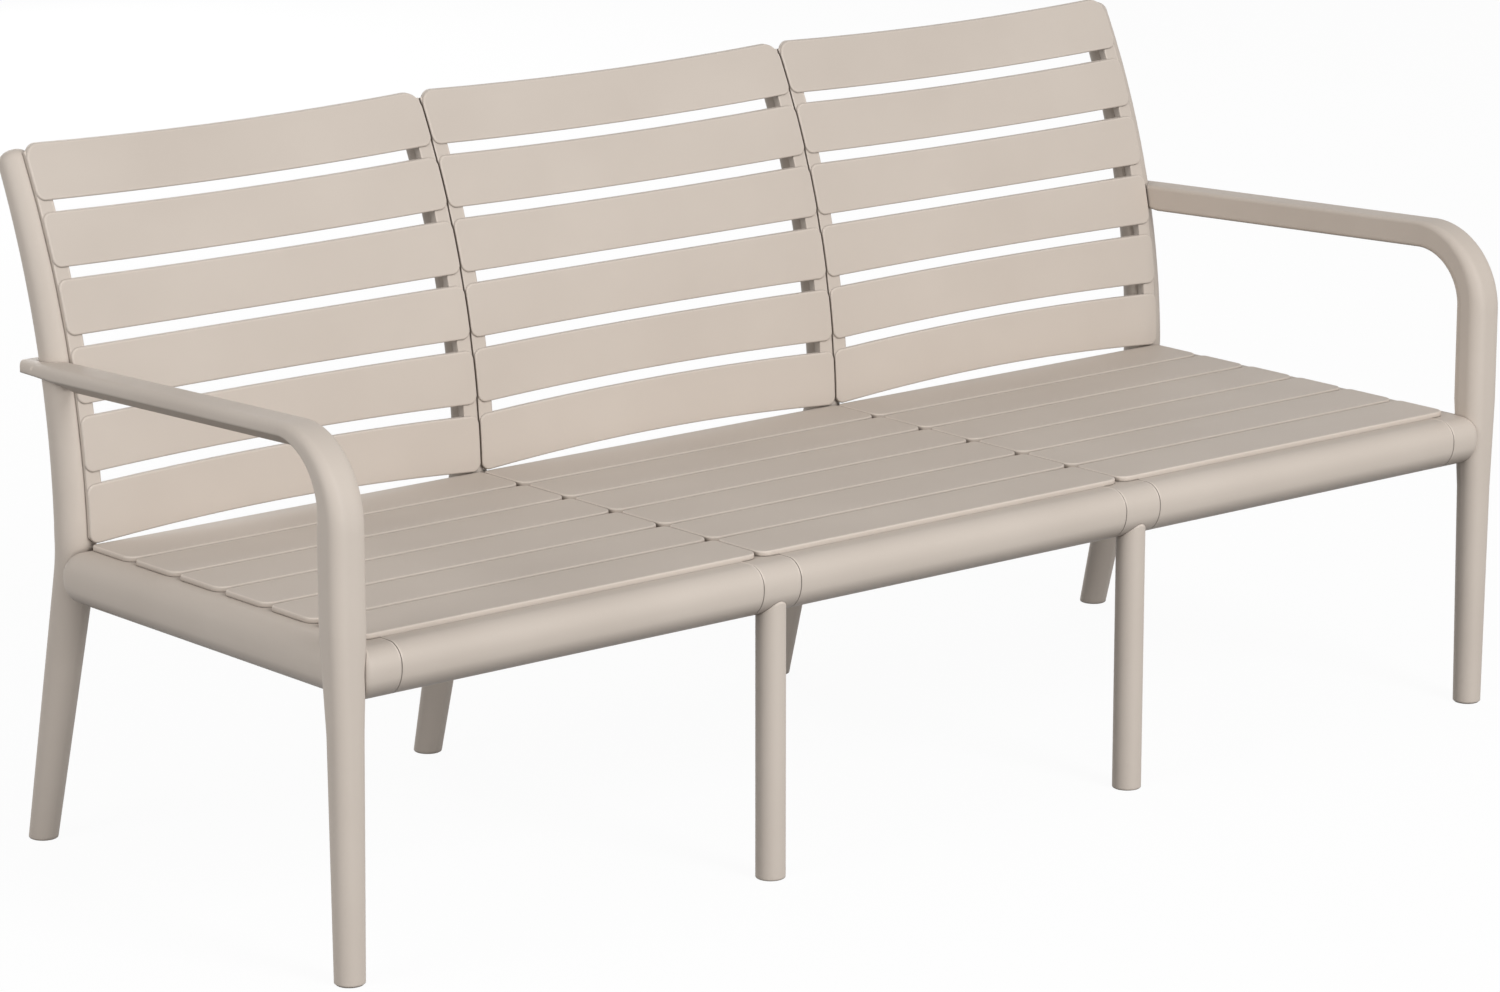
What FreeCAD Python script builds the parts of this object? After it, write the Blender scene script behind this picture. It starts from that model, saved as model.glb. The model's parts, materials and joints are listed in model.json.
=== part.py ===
import FreeCAD, Part
import Sketcher
import math
import os
from FreeCAD import Placement, Rotation, Vector

# Driving dimensions in millimetres, degrees where the name says angle
SIZES = {
    # whole sofa
    "panel_pitch": 558,         # spacing of the joints between panels
    "panel_gap": 2.4,           # open joint between neighbouring panels
    "leg_out": 33,              # end front feet outside the end joints
    "rear_foot_out": 117,       # rear feet behind the rear slat edge
    "foot_diameter": 34.5,
    "foot_edge_round": 2,
    "fit_gap": 0.3,             # clearance where two pieces seat
    "seam_gap": 0.8,            # open seam between a roll and the piece beside it
    # seat
    "seat_height": 380,
    "seat_front": 18,           # front slat edge behind the front feet
    "seat_depth": 526,
    "seat_drop": 4,             # fall of the seat from front to rear
    "seat_slats": 6,
    "seat_slat_gap": 7,
    "seat_plate": 6,            # slat thickness
    "slat_front_round": 16,     # plan radius of a slat's front corners
    "slat_rear_round": 8,
    "slat_edge_round": 1.6,
    "rib_wall": 5,
    "rib_depth": 24,
    "rib_inner": 84,            # inner ribs from the panel's middle
    "rib_inset": 6,             # ribs end ahead of the rear slat edge
    # front roll and rails
    "roll_front": 39.5,         # roll face ahead of the front slat edge
    "roll_bottom": 68,          # underside below the slat tops
    "roll_top_round": 23,
    "roll_bottom_round": 36,
    "roll_back": 12,            # depth of the roll's lips behind the slat edge
    "rail_wall": 4,
    "rail_flange": 42,          # inner flange below the slat tops
    "rail_lip": 6,              # turned-in lower edge of a side rail
    "rail_out": 36,             # outer face of a side rail outside the end joints
    "rail_top_round": 26,
    "rail_bottom_round": 32,
    "rail_end_round": 22,
    "stub_out": 20,             # outer end of the corner stub outside the end joints
    "stub_end_round": 10,
    "frame_half": 27,           # half width of a middle rail and its coupling
    "middle_rail_depth": 50,
    "block_length": 42,         # solid end of a rail where a bolt passes
    "rail_short": 12,           # rails end ahead of the axis of the end posts
    # back
    "back_overlap": 2.2,        # upright part of the back ahead of the rear slat edge
    "back_radius": 990,
    "back_start": 24,           # upright level below the bottom edge of the back
    "back_seat_gap": 0.6,       # bottom edge above the seat, at the ends of a panel
    "back_slats": 6,
    "back_slat": 64.4,          # height of a slat along the curve
    "back_end_slat": 68.3,      # height of the top and the bottom slat
    "back_slat_gap": 14.2,
    "back_plate": 6,
    "back_edge_round": 1.6,
    "back_corner_round": 11,
    "back_top_round": 19,
    "bow_bottom": 10.7,         # rise of the bottom edge at the middle of a panel
    "bow_middle": -0.3,         # the same half way up the back
    "bow_top": -5,              # the same at the top edge
    "stile_width": 20,
    "stile_recess": 2.5,
    "stile_depth": 13,
    "stile_inset": 6,           # stiles end inside the top and bottom edges
    # posts and rear legs
    "post_diameter": 38,        # at the top of a post
    "hip_diameter": 48,         # end posts where the side rails meet them
    "post_short": 8,            # end post tops below the top edge of the back
    "middle_post_short": 13,
    "post_end_round": 15,       # rounding round the top of a post
    "rear_leg_angle": 14,
    "rear_knee_diameter": 47,   # rear leg where it leaves the bend
    # arm and front leg
    "arm_height": 609.5,        # arm top just behind the bend
    "arm_slope_angle": 2.86,
    "arm_toe_angle": 1.3,
    "arm_bend": 84,
    "arm_width": 40,
    "arm_inner": 36.5,
    "arm_outer": 14.5,
    "arm_corner": 5,
    "arm_crown": 9,             # rounding of the arm's upper outer edge
    "arm_past": 84,             # arm tip behind the rear slat edge
    "arm_tail": 75,             # tapered length ahead of the tip
    "arm_tip_width": 36,
    "arm_tip_inner": 25,
    "arm_tip_outer": 13,
    "arm_tip_round": 14,        # plan radius of the tip's corners
    "leg_width": 46,
    "leg_depth": 45,
    "leg_back": 2.2,            # full part of the leg behind the line of the feet
    "leg_corner": 16.5,
    "leg_knee": 280,            # level where the leg starts to widen
    "knee_width": 39.5,
    "knee_depth": 38,
    "knee_corner": 17,
    "foot_flat": 0.7,           # short flat between the corner arcs of a moulded foot
    "middle_leg_diameter": 35,
    "tenon_diameter": 22,
    "tenon_length": 34,
    # fasteners
    "glide_diameter": 25,
    "glide_thickness": 2.7,
    "glide_stem": 10,
    "glide_stem_length": 14,
    "screw_head": 9,
    "screw_shank": 4,
    "bolt_head": 11,
    "bolt_shank": 6,
    "head_height": 3.5,
    "anchor_depth": 12,         # hold of a bolt in the piece it reaches
    "seat_screw_inset": 105,    # seat screws from the front and rear slat edges
    "cap_thickness": 3,
    "cap_recess": 2.5,          # caps below the surface of a post
}

# Places nearer than this count as one, and bows lower than this as straight
NEAR = 0.01
LEAST_BOW = 0.05

doc = FreeCAD.newDocument("outdoor_sofa")
sheet = doc.addObject("Spreadsheet::Sheet", "Sizes")
for row, (alias, number) in enumerate(SIZES.items(), 1):
    sheet.set("A%d" % row, alias)
    sheet.set("B%d" % row, str(number))
    sheet.setAlias("B%d" % row, alias)
doc.recompute()


def size(alias):
    """The value of one driving dimension."""
    return float(sheet.get(alias))


class Length:
    """A value together with the sheet expression that drives it."""

    def __init__(self, value, text):
        self.value = value
        self.text = text

    def join(self, sign, other, value):
        return Length(value, "(%s %s %s)" % (self.text, sign, other.text))

    def __add__(self, other):
        other = length(other)
        return self.join("+", other, self.value + other.value)

    def __sub__(self, other):
        other = length(other)
        return self.join("-", other, self.value - other.value)

    def __mul__(self, other):
        other = length(other)
        return self.join("*", other, self.value * other.value)

    def __truediv__(self, other):
        other = length(other)
        return self.join("/", other, self.value / other.value)

    def __neg__(self):
        return Length(-self.value, "(0 - %s)" % self.text)


def length(item):
    """A plain number or a Length, always as a Length."""
    if isinstance(item, Length):
        return item
    return Length(float(item), "(%r)" % float(item))


def cell(alias):
    """A driving dimension as a Length bound to its cell."""
    return Length(size(alias), "Sizes." + alias)


# Sketches and features inside a body

def new_body(name):
    return doc.addObject("PartDesign::Body", name)


def sketch_on(body, name, role, offset=0):
    """A sketch on one of the body's own origin planes, moved along its normal."""
    plane = [item for item in body.Origin.OriginFeatures if item.Role == role][0]
    sketch = body.newObject("Sketcher::SketchObject", name)
    sketch.AttachmentSupport = [(plane, "")]
    sketch.MapMode = "FlatFace"
    sketch.setExpression("AttachmentOffset.Base.z", length(offset).text)
    return sketch


def draw_loop(sketch, nodes):
    """Draw a closed loop. A node is (x, y) or (x, y, centre x, centre y) when an arc leaves it."""
    nodes = [tuple(length(item) for item in node) for node in nodes]
    edges = []
    for index, node in enumerate(nodes):
        follower = nodes[(index + 1) % len(nodes)]
        start = Vector(node[0].value, node[1].value, 0)
        end = Vector(follower[0].value, follower[1].value, 0)
        if len(node) == 2:
            edges.append((sketch.addGeometry(Part.LineSegment(start, end)), 1, 2))
            continue
        centre = Vector(node[2].value, node[3].value, 0)
        edges.append(draw_arc(sketch, centre, start, end))
    driven = []
    joined = []
    for index, node in enumerate(nodes):
        geometry, first, last = edges[index]
        before, skipped, before_last = edges[index - 1]
        joined.append(Sketcher.Constraint("Coincident", before, before_last, geometry, first))
        driven.append((Sketcher.Constraint("DistanceX", -1, 1, geometry, first, node[0].value), node[0].text))
        driven.append((Sketcher.Constraint("DistanceY", -1, 1, geometry, first, node[1].value), node[1].text))
        if len(node) == 4:
            driven.append(driven_radius(geometry, node))
    sketch.addConstraint(joined)
    numbers = sketch.addConstraint([constraint for constraint, text in driven])
    for number, (constraint, text) in zip(numbers, driven):
        sketch.setExpression("Constraints[%d]" % number, text)


def driven_radius(geometry, node):
    """Radius of the arc that leaves a node, from the node to the arc's centre."""
    across = node[2] - node[0]
    along = node[3] - node[1]
    radius = math.hypot(across.value, along.value)
    text = "sqrt(%s + %s)" % ((across * across).text, (along * along).text)
    return Sketcher.Constraint("Radius", geometry, radius), text


def draw_arc(sketch, centre, start, end):
    """Add the short arc between two points and tell which of its ends comes first."""
    first = start - centre
    last = end - centre
    forward = first.cross(last).z > 0
    if not forward:
        first, last = last, first
    circle = Part.Circle(centre, Vector(0, 0, 1), first.Length)
    begin = math.atan2(first.y, first.x)
    finish = math.atan2(last.y, last.x)
    if finish < begin:
        finish += 2 * math.pi
    geometry = sketch.addGeometry(Part.ArcOfCircle(circle, begin, finish))
    return (geometry, 1, 2) if forward else (geometry, 2, 1)


def pad(body, name, sketch, reach, both=False, reverse=False):
    feature = body.newObject("PartDesign::Pad", name)
    feature.Profile = sketch
    feature.setExpression("Length", length(reach).text)
    feature.Midplane = both
    feature.Reversed = reverse
    doc.recompute()
    return feature


def box_nodes(left, low, right, high, low_round, high_round):
    """A rounded rectangle, counter-clockwise from the lower left, as loop nodes."""
    return [
        (left + low_round, low), (right - low_round, low, right - low_round, low + low_round),
        (right, low + low_round), (right, high - high_round, right - high_round, high - high_round),
        (right - high_round, high), (left + high_round, high, left + high_round, high - high_round),
        (left, high - high_round), (left, low + low_round, left + low_round, low + low_round),
    ]


# Places shared by several pieces

SEAT_TILT = math.degrees(math.atan2(size("seat_drop"), size("seat_depth")))
JOINT = size("panel_pitch") / 2
END_JOINT = cell("panel_pitch") * 1.5
POST_X = END_JOINT.value
LEG_X = POST_X + size("leg_out")
PANEL_WIDTH = cell("panel_pitch") - cell("panel_gap")
RAIL_TOP = cell("seat_plate") + cell("fit_gap")
RAIL_OUTER = END_JOINT + cell("rail_out")
STUB_END = END_JOINT + cell("stub_out")
SEAT_REAR = cell("seat_front") + cell("seat_depth")
BACK_FRONT = SEAT_REAR - cell("back_overlap")
REAR_FOOT = SEAT_REAR.value + size("rear_foot_out")
ARM_TIP = SEAT_REAR.value + size("arm_past")
SEAM = cell("panel_pitch") / 2 - cell("frame_half")
SIDE_SEAM = END_JOINT - cell("frame_half")
ROLL_END = SEAM - cell("seam_gap")


def slat_arc(index):
    """Lower and upper edge of a back slat, along the curve from the bottom edge of the back."""
    last = int(size("back_slats")) - 1
    end_slat = cell("back_end_slat")
    gap = cell("back_slat_gap")
    low = length(0)
    if index > 0:
        low = end_slat + gap + (cell("back_slat") + gap) * (index - 1)
    return low, low + (end_slat if index in (0, last) else cell("back_slat"))


def arc_level(arc):
    """Height above the upright level of a place on the back's curve."""
    radius = cell("back_radius")
    start = cell("back_start")
    turn = math.asin(start.value / radius.value) + arc.value / radius.value
    text = "asin(%s / %s) + %s / %s * 1 rad" % (start.text, radius.text, arc.text, radius.text)
    return Length(radius.value * math.sin(turn), "(%s * sin(%s))" % (radius.text, text))


BACK_ARC = slat_arc(int(size("back_slats")) - 1)[1]
BACK_HIGH = arc_level(BACK_ARC)
SEAT_FALL = size("seat_drop") / size("seat_depth") * (BACK_FRONT.value - size("seat_front"))
BACK_BOTTOM = size("seat_height") - SEAT_FALL + size("back_seat_gap")
BACK_LEVEL = BACK_BOTTOM - size("back_start")
BACK_CENTRE = Vector(0, BACK_FRONT.value + size("back_radius"), BACK_LEVEL)
POST_RADIUS = size("post_diameter") / 2
HIP_RADIUS = size("hip_diameter") / 2
# Front of every post, behind the front surface of the back
POST_FRONT = size("back_plate") + 2 * size("fit_gap")
HIP = BACK_BOTTOM + size("stile_inset")
# Heights where the posts start to round off
POST_TOP = BACK_LEVEL + BACK_HIGH.value - size("post_short") - size("post_end_round")
MIDDLE_POST_TOP = BACK_LEVEL + BACK_HIGH.value - size("middle_post_short") - size("post_end_round")
END_POST = (POST_TOP, HIP_RADIUS)
MIDDLE_POST = (MIDDLE_POST_TOP, POST_RADIUS)


def post_lean(height, radius):
    """Lean of a post where its axis passes a height with a given radius, in radians."""
    return math.asin((height - BACK_LEVEL) / (size("back_radius") - POST_FRONT - radius))


def back_point(lean, depth):
    """A point behind the front surface of the back, where the back has a given lean."""
    return BACK_CENTRE + Vector(0, -math.cos(lean), math.sin(lean)) * (size("back_radius") - depth)


def post_point(height, radius):
    """Axis of a post at a height where it has a given radius."""
    return back_point(post_lean(height, radius), POST_FRONT + radius)


# Half way between the front of the roll and the rear of the posts
POST_FLAT = (POST_RADIUS - size("post_end_round")) * math.cos(post_lean(POST_TOP, POST_RADIUS))
REAR_MOST = post_point(POST_TOP, POST_RADIUS).y + POST_FLAT + size("post_end_round")
SHIFT = (REAR_MOST + size("seat_front") - size("roll_front")) / 2


def seat_point(across, depth, height):
    """A point of the seat frame in the upright frame of the front feet."""
    turned_point = Rotation(Vector(1, 0, 0), -SEAT_TILT).multVec(Vector(0, depth, height))
    return turned_point + Vector(across, size("seat_front"), size("seat_height"))


def seat_place(across):
    """Frame of the seat: slat tops at zero, first slat edge at zero, tilted to the rear."""
    base = Vector(across, size("seat_front") - SHIFT, size("seat_height"))
    return Placement(base, Rotation(Vector(1, 0, 0), -SEAT_TILT))


def floor_place(across=0, depth=0, turn=0):
    """Upright frame on the floor, measured from the line of the front feet."""
    return Placement(Vector(across, depth - SHIFT, 0), Rotation(Vector(0, 0, 1), turn))


def put(name, shape):
    """A document object that holds a shape given in the upright frame of the front feet."""
    item = doc.addObject("Part::Feature", name)
    item.Shape = shape
    item.Placement = floor_place().multiply(shape.Placement)
    return item


def cut(label, base, tools):
    """Base minus several solids, given in the upright frame of the front feet, as a named piece."""
    room = tools[0].fuse(tools[1:]) if len(tools) > 1 else tools[0]
    item = doc.addObject("Part::Cut", label)
    item.Base = base
    item.Tool = put(label + "_room", room)
    return item


def mirror(label, source):
    """The same piece on the other side of the sofa."""
    item = doc.addObject("Part::Mirroring", label)
    item.Source = source
    item.Normal = Vector(1, 0, 0)
    return item


def turned(stations):
    """A round solid about +Z from (height, radius) stations."""
    points = [Vector(radius, 0, height) for height, radius in stations]
    first, last = stations[0][0], stations[-1][0]
    outline = [Vector(0, 0, first)] + points + [Vector(0, 0, last), Vector(0, 0, first)]
    face = Part.Face(Part.makePolygon(outline))
    return face.revolve(Vector(0, 0, 0), Vector(0, 0, 1), 360)


def aimed(shape, start, direction):
    """A copy of a turned shape moved to start, its +Z along direction."""
    copy = shape.copy()
    copy.Placement = Placement(start, Rotation(Vector(0, 0, 1), direction))
    return copy


# Seat panels

def roll_nodes(top, hollow):
    """Section of the front roll, open behind when hollow."""
    front = -cell("roll_front")
    bottom = -cell("roll_bottom")
    upper = cell("roll_top_round")
    lower = cell("roll_bottom_round")
    wall = cell("rail_wall")
    back = cell("roll_back")
    outside = [
        (back, -top), (front + upper, -top, front + upper, -top - upper),
        (front, -top - upper), (front, bottom + lower, front + lower, bottom + lower),
        (front + lower, bottom), (back, bottom),
    ]
    if not hollow:
        return outside
    inside = [
        (back, bottom + wall), (front + lower, bottom + wall, front + lower, bottom + lower),
        (front + wall, bottom + lower), (front + wall, -top - upper, front + upper, -top - upper),
        (front + upper, -top - wall), (back, -top - wall),
    ]
    return outside + inside


def seat_panel(label):
    """Slats on ribs behind a hollow front roll."""
    body = new_body(label)
    half = PANEL_WIDTH / 2
    pitch = (cell("seat_depth") + cell("seat_slat_gap")) / cell("seat_slats")
    outline = sketch_on(body, label + "_slat_outline", "XY_Plane")
    draw_loop(outline, box_nodes(-half, length(0), half, pitch - cell("seat_slat_gap"),
                                 cell("slat_front_round"), cell("slat_rear_round")))
    slat = pad(body, label + "_slat", outline, cell("seat_plate"), reverse=True)
    rounded = round_edges(body, label + "_slat_edge", slat, level_edges(slat.Shape, 0), "slat_edge_round")
    slats = body.newObject("PartDesign::LinearPattern", label + "_slats")
    slats.Originals = [slat, rounded]
    slats.Direction = (outline, ["V_Axis"])
    slats.setExpression("Length", (pitch * (cell("seat_slats") - 1)).text)
    slats.setExpression("Occurrences", "Sizes.seat_slats")
    body.Tip = slats
    doc.recompute()
    ribs = sketch_on(body, label + "_rib_outline", "XY_Plane", -cell("seat_plate"))
    outer = ROLL_END - cell("rib_wall") / 2
    front = cell("roll_top_round") - cell("roll_front")
    rear = cell("seat_depth") - cell("rib_inset")
    for middle in (-outer, -cell("rib_inner"), cell("rib_inner"), outer):
        left = middle - cell("rib_wall") / 2
        right = middle + cell("rib_wall") / 2
        draw_loop(ribs, [(left, front), (right, front), (right, rear), (left, rear)])
    pad(body, label + "_ribs", ribs, cell("rib_depth"), reverse=True)
    section = sketch_on(body, label + "_roll_section", "YZ_Plane")
    draw_loop(section, roll_nodes(cell("seat_plate"), True))
    pad(body, label + "_roll", section, ROLL_END * 2, both=True)
    body.Placement = seat_place(0)
    return body


def level_edges(shape, level):
    """Names of the edges that lie at one height."""
    names = []
    for index, edge in enumerate(shape.Edges, 1):
        box = edge.BoundBox
        if abs(box.ZMin - level) < NEAR and abs(box.ZMax - level) < NEAR:
            names.append("Edge%d" % index)
    return names


# Rails

def side_rail_nodes(hollow):
    """Section of the right side rail across the sofa, open below and inside when hollow."""
    inner = SIDE_SEAM
    outer = RAIL_OUTER
    top = -RAIL_TOP
    bottom = -cell("roll_bottom")
    upper = cell("rail_top_round")
    lower = cell("rail_bottom_round")
    wall = cell("rail_wall")
    flange = -cell("rail_flange")
    lip = outer - lower - cell("rail_lip")
    outside = [
        (lip, bottom), (outer - lower, bottom, outer - lower, bottom + lower),
        (outer, bottom + lower), (outer, top - upper, outer - upper, top - upper),
        (outer - upper, top), (inner, top),
    ]
    if not hollow:
        return outside + [(inner, bottom)]
    inside = [
        (inner, flange), (inner + wall, flange), (inner + wall, top - wall),
        (outer - upper, top - wall, outer - upper, top - upper), (outer - wall, top - upper),
        (outer - wall, bottom + lower, outer - lower, bottom + lower), (outer - lower, bottom + wall),
        (lip, bottom + wall),
    ]
    return outside + inside


def side_rail():
    """Right side rail: channel with solid ends and the rounded front corner stub."""
    name = "side_rail_blank"
    body = new_body(name)
    rear = rail_rear()
    front = cell("roll_bottom_round") - cell("roll_front")
    block_end = cell("block_length") - cell("seat_front")
    stub = sketch_on(body, name + "_stub_section", "YZ_Plane", SIDE_SEAM)
    draw_loop(stub, roll_nodes(RAIL_TOP, False))
    tongue = pad(body, name + "_stub", stub, STUB_END - SIDE_SEAM)
    outside = outer_edges(tongue.Shape, "x", STUB_END.value, lambda box: box.YMin < -size("seat_front"))
    round_edges(body, name + "_stub_end", tongue, outside, "stub_end_round")
    run = sketch_on(body, name + "_section", "XZ_Plane", -rear)
    draw_loop(run, side_rail_nodes(True))
    pad(body, name + "_run", run, rear - front)
    solid = sketch_on(body, name + "_rear_section", "XZ_Plane", -rear)
    draw_loop(solid, side_rail_nodes(False))
    block = pad(body, name + "_rear_block", solid, cell("block_length"))
    outside = outer_edges(block.Shape, "y", rear.value, lambda box: box.XMax > RAIL_OUTER.value - 1)
    round_edges(body, name + "_rear_end", block, outside, "rail_end_round")
    ahead = sketch_on(body, name + "_front_section", "XZ_Plane", -block_end)
    draw_loop(ahead, side_rail_nodes(False))
    pad(body, name + "_front_block", ahead, block_end - front)
    body.Placement = seat_place(0)
    return body


def outer_edges(shape, axis, level, wanted):
    """Names of the edges of one end face that pass a test on their boxes."""
    names = []
    for index, edge in enumerate(shape.Edges, 1):
        box = edge.BoundBox
        low, high = (box.XMin, box.XMax) if axis == "x" else (box.YMin, box.YMax)
        if abs(low - level) < NEAR and abs(high - level) < NEAR and wanted(box):
            names.append("Edge%d" % index)
    return names


def round_edges(body, name, feature, edges, alias):
    """Round the named edges of a feature by one driving radius."""
    rounded = body.newObject("PartDesign::Fillet", name)
    rounded.Base = (feature, edges)
    rounded.setExpression("Radius", "Sizes." + alias)
    doc.recompute()
    return rounded


def rail_rear():
    """Rear end of the rails in the seat frame, a little ahead of the axis of the end posts."""
    front = BACK_FRONT + cell("back_plate") + cell("fit_gap") * 2 - cell("seat_front")
    return front + cell("hip_diameter") / 2 - cell("rail_short")


def middle_rail(name, across):
    """Channel under the joint of two panels with the coupling of their rolls."""
    body = new_body(name)
    half = cell("frame_half")
    wall = cell("rail_wall")
    top = -RAIL_TOP
    foot = -cell("middle_rail_depth")
    rear = rail_rear()
    coupling = sketch_on(body, name + "_coupling_section", "YZ_Plane")
    draw_loop(coupling, roll_nodes(RAIL_TOP, False))
    pad(body, name + "_coupling", coupling, half * 2, both=True)
    channel = sketch_on(body, name + "_section", "XZ_Plane", -rear)
    draw_loop(channel, [
        (-half, foot), (wall - half, foot), (wall - half, top - wall), (half - wall, top - wall),
        (half - wall, foot), (half, foot), (half, top), (-half, top),
    ])
    pad(body, name + "_run", channel, rear)
    solid = sketch_on(body, name + "_rear_section", "XZ_Plane", -rear)
    draw_loop(solid, [(-half, foot), (half, foot), (half, top), (-half, top)])
    pad(body, name + "_rear_block", solid, cell("block_length"))
    body.Placement = seat_place(across)
    return body


# Back panels

def bow(arc):
    """Rise of an edge at the middle of a panel, by its place between the bottom and top edges."""
    share = arc / BACK_ARC
    rest = length(1) - share
    bottom = cell("bow_bottom") * rest * (rest - share)
    middle = cell("bow_middle") * rest * share * 4
    top = cell("bow_top") * share * (share - rest)
    return bottom + middle + top


def slat_nodes(index):
    """Front outline of one back slat with bowed long edges and rounded corners."""
    half = PANEL_WIDTH / 2
    low, high = slat_arc(index)
    top_slat = index == int(size("back_slats")) - 1
    lower = cell("back_corner_round")
    upper = cell("back_top_round") if top_slat else cell("back_corner_round")
    nodes = box_nodes(-half, arc_level(low), half, arc_level(high), lower, upper)
    nodes[0] = nodes[0] + bow_centre(half - lower, arc_level(low), bow(low))
    nodes[4] = nodes[4] + bow_centre(half - upper, arc_level(high), bow(high))
    return nodes


def bow_centre(half, level, rise):
    """Centre of the arc through two points at one level and a middle point that rises."""
    flat = length(LEAST_BOW if rise.value >= 0 else -LEAST_BOW)
    rise = flat if abs(rise.value) < LEAST_BOW else rise
    return (length(0), level + rise / 2 - half * half / (rise * 2))


def polar(skin, height):
    """A point of the back's section: depth below the front surface and height on that surface."""
    radius = cell("back_radius")
    sine = height / radius
    cosine = Length(math.sqrt(1 - sine.value ** 2), "sqrt(1 - %s * %s)" % (sine.text, sine.text))
    return (radius - (radius - skin) * cosine, (radius - skin) * sine)


def shell_nodes(front_skin, rear_skin, low, high):
    """Curved strip of the back between two depths and two heights."""
    centre = (cell("back_radius"), length(0))
    return [
        polar(rear_skin, low), polar(front_skin, low) + centre,
        polar(front_skin, high), polar(rear_skin, high) + centre,
    ]


def back_panel(label):
    """Curved slats in front of two set-back stiles."""
    body = new_body(label)
    low = cell("back_start")
    margin = low / 2
    skin = sketch_on(body, label + "_skin_section", "YZ_Plane")
    draw_loop(skin, shell_nodes(length(0), cell("back_plate"), low - margin, BACK_HIGH + margin))
    pad(body, label + "_skin", skin, PANEL_WIDTH, both=True)
    gaps = sketch_on(body, label + "_slat_outlines", "XZ_Plane")
    edge = PANEL_WIDTH / 2 + margin
    top = BACK_HIGH + low
    draw_loop(gaps, [(-edge, length(0)), (edge, length(0)), (edge, top), (-edge, top)])
    for index in range(int(size("back_slats"))):
        draw_loop(gaps, slat_nodes(index))
    slats = body.newObject("PartDesign::Pocket", label + "_gaps")
    slats.Profile = gaps
    slats.Type = "ThroughAll"
    slats.Midplane = True
    doc.recompute()
    round_edges(body, label + "_slat_edge", slats, front_edges(slats.Shape), "back_edge_round")
    stile = sketch_on(body, label + "_stile_section", "YZ_Plane", PANEL_WIDTH / 2 - cell("stile_width"))
    inset = cell("stile_inset")
    draw_loop(stile, shell_nodes(cell("stile_recess"), cell("stile_depth"), low + inset, BACK_HIGH - inset))
    upright = pad(body, label + "_stile", stile, cell("stile_width"))
    pair = body.newObject("PartDesign::Mirrored", label + "_stiles")
    pair.Originals = [upright]
    plane = [item for item in body.Origin.OriginFeatures if item.Role == "YZ_Plane"][0]
    pair.MirrorPlane = (plane, [""])
    body.Tip = pair
    body.Placement = Placement(Vector(0, BACK_FRONT.value - SHIFT, BACK_LEVEL), Rotation())
    return body


def front_edges(shape):
    """Names of the edges that lie on the front surface of the back, in a panel's own frame."""
    names = []
    radius = size("back_radius")
    for index, edge in enumerate(shape.Edges, 1):
        depths = [radius - math.hypot(radius - point.y, point.z) for point in edge.discretize(5)]
        if max(abs(depth) for depth in depths) < NEAR:
            names.append("Edge%d" % index)
    return names


# Posts and rear legs

def disc(radius, at, along):
    return Part.Wire(Part.makeCircle(radius, at, along))


def post_shape(grow, top, hip_radius):
    """Tapered post with a rounded top above, bend and tapered leg below, about x zero, on the floor."""
    low_lean = post_lean(HIP, hip_radius)
    high_lean = post_lean(top, POST_RADIUS)
    start = post_point(HIP, hip_radius)
    crown = post_point(top, POST_RADIUS)
    half_way = back_point((low_lean + high_lean) / 2, POST_FRONT + (hip_radius + POST_RADIUS) / 2)
    ring = disc(hip_radius + grow, start, upward(low_lean))
    rim = disc(POST_RADIUS + grow, crown, upward(high_lean))
    spine = Part.Wire(Part.Arc(start, half_way, crown).toShape())
    upper = spine.makePipeShell([ring, rim], True, False)
    cap = rounded_end(POST_RADIUS + grow, size("post_end_round") + grow, crown, upward(high_lean))
    angle = math.radians(size("rear_leg_angle"))
    foot = Vector(0, REAR_FOOT, 0)
    ahead = Vector(0, -math.cos(angle), -math.sin(angle))
    behind = Vector(0, math.cos(low_lean), -math.sin(low_lean))
    bend = (foot - start).dot(ahead) / (1 - math.cos(angle + low_lean))
    centre = start + behind * bend
    knee = centre + ahead * bend
    waist = centre + (ahead - behind).normalize() * bend
    down = Vector(0, math.sin(angle), -math.cos(angle))
    full = size("rear_knee_diameter") / 2 + grow
    curve = Part.Wire(Part.Arc(start, waist, knee).toShape())
    middle = curve.makePipeShell([ring, disc(full, knee, down)], True, False)
    drop = knee.z / math.cos(angle)
    end = size("foot_diameter") / 2 + grow
    taper = (full - end) / drop
    lower = Part.makeCone(full, end - taper * full, drop + full, knee, down)
    span = 4 * full
    floor = Part.makeBox(span, span, span, foot - Vector(span / 2, span / 2, span))
    leg = lower.cut(floor)
    sole = [edge for edge in leg.Edges if abs(edge.BoundBox.ZMax) < NEAR]
    leg = leg.makeFillet(size("foot_edge_round"), sole)
    return upper.fuse([cap, middle, leg]).removeSplitter()


def rounded_end(radius, rounding, start, along):
    """Short round end of a post, its far edge rounded off all the way to its start."""
    foot = Vector(0, 0, 0)
    top = Vector(0, 0, rounding)
    rim = Vector(radius, 0, 0)
    edge = Vector(radius - rounding, 0, rounding)
    half_way = edge + Vector(math.sqrt(0.5), 0, math.sqrt(0.5) - 1) * rounding
    outline = [Part.makeLine(foot, rim), Part.Arc(rim, half_way, edge).toShape(),
               Part.makeLine(edge, top), Part.makeLine(top, foot)]
    end = Part.Face(Part.Wire(outline)).revolve(foot, top, 360)
    return aimed(end, start, along)


def upward(lean):
    """Direction of a post's axis where it leans back."""
    return Vector(0, math.sin(lean), math.cos(lean))


# Arms and front legs

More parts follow.
